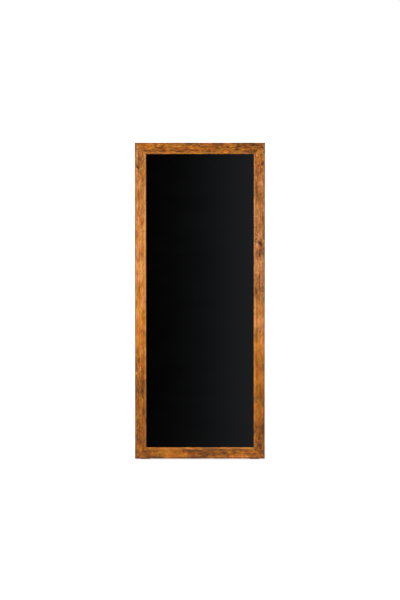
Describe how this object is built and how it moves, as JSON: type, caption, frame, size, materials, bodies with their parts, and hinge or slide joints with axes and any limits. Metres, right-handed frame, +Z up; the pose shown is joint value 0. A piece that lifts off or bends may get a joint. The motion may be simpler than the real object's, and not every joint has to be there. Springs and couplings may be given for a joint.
{
  "type": "menu chalkboard easel",
  "caption": "Tall wood-framed menu chalkboard that leans back on a hinged wooden prop, held open by sliding steel stays; it folds flat.",
  "frame": {"origin": "on the floor, in the middle of the standing board's footprint", "axes": "+Z up, +X along the board's width (left and right as seen by someone reading the board), +Y from the writing side to the back"},
  "size_m": [0.56, 0.4552, 1.3438],
  "materials": {
    "stained_pine": "stained and waxed, satin",
    "plain_pine": "stained, dull satin",
    "beech": "raw",
    "black_laminate": "satin",
    "backing_laminate": "matte",
    "fibreboard": "raw sawn edge",
    "black_rubber": "matte",
    "nylon": "matte",
    "brassed_steel": "brass plated, satin",
    "zinc_steel": "zinc plated, satin",
    "bright_steel": "bright"
  },
  "bodies": {
    "board": {"top_rail": "stained_pine", "bottom_rail": "stained_pine", "left_stile": "stained_pine", "right_stile": "stained_pine", "mitre_splines": "beech", "writing_surface": "black_laminate", "panel_core": "fibreboard", "backing_sheet": "backing_laminate", "top_bead": "plain_pine", "bottom_bead": "plain_pine", "left_bead": "plain_pine", "right_bead": "plain_pine", "bead_pins": "bright_steel", "top_left_brace": "zinc_steel", "top_right_brace": "zinc_steel", "bottom_left_brace": "zinc_steel", "bottom_right_brace": "zinc_steel", "brace_screws": "zinc_steel", "hinge_rail": "plain_pine", "hinge_rail_screws": "zinc_steel", "left_hinge_upper_leaf": "brassed_steel", "right_hinge_upper_leaf": "brassed_steel", "left_hinge_pin": "brassed_steel", "right_hinge_pin": "brassed_steel", "upper_leaf_screws": "brassed_steel", "left_stay_bracket": "zinc_steel", "right_stay_bracket": "zinc_steel", "left_stay_rivet": "zinc_steel", "right_stay_rivet": "zinc_steel", "bracket_screws": "zinc_steel", "left_front_foot": "black_rubber", "right_front_foot": "black_rubber"},
    "prop": {"left_leg": "plain_pine", "right_leg": "plain_pine", "prop_top_rail": "plain_pine", "prop_cross_rail": "plain_pine", "prop_dowels": "beech", "left_hinge_lower_leaf": "brassed_steel", "right_hinge_lower_leaf": "brassed_steel", "lower_leaf_screws": "brassed_steel", "left_track_plate": "zinc_steel", "right_track_plate": "zinc_steel", "track_screws": "zinc_steel", "left_rear_foot": "black_rubber", "right_rear_foot": "black_rubber", "rear_foot_screws": "zinc_steel"},
    "left_stay": {"left_stay_bar": "zinc_steel", "left_slide_pin": "zinc_steel", "left_washer": "nylon"},
    "right_stay": {"right_stay_bar": "zinc_steel", "right_slide_pin": "zinc_steel", "right_washer": "nylon"}
  },
  "joints": [
    {"name": "prop_fold", "type": "hinge", "parent": "board", "child": "prop", "pos_m": [0, 0.02415, 1.17329], "axis": [1, 0, 0], "range_deg": [-20, 0]},
    {"name": "left_stay_swing", "type": "hinge", "parent": "board", "child": "left_stay", "pos_m": [-0.237, -0.04363, 0.8603], "axis": [1, 0, 0], "range_deg": [-40, 0]},
    {"name": "right_stay_swing", "type": "hinge", "parent": "board", "child": "right_stay", "pos_m": [0.237, -0.04363, 0.8603], "axis": [1, 0, 0], "range_deg": [-40, 0]}
  ],
  "couplings": [
    {"joint": "left_stay_swing", "follows": "prop_fold", "ratio": 2},
    {"joint": "right_stay_swing", "follows": "prop_fold", "ratio": 2}
  ]
}
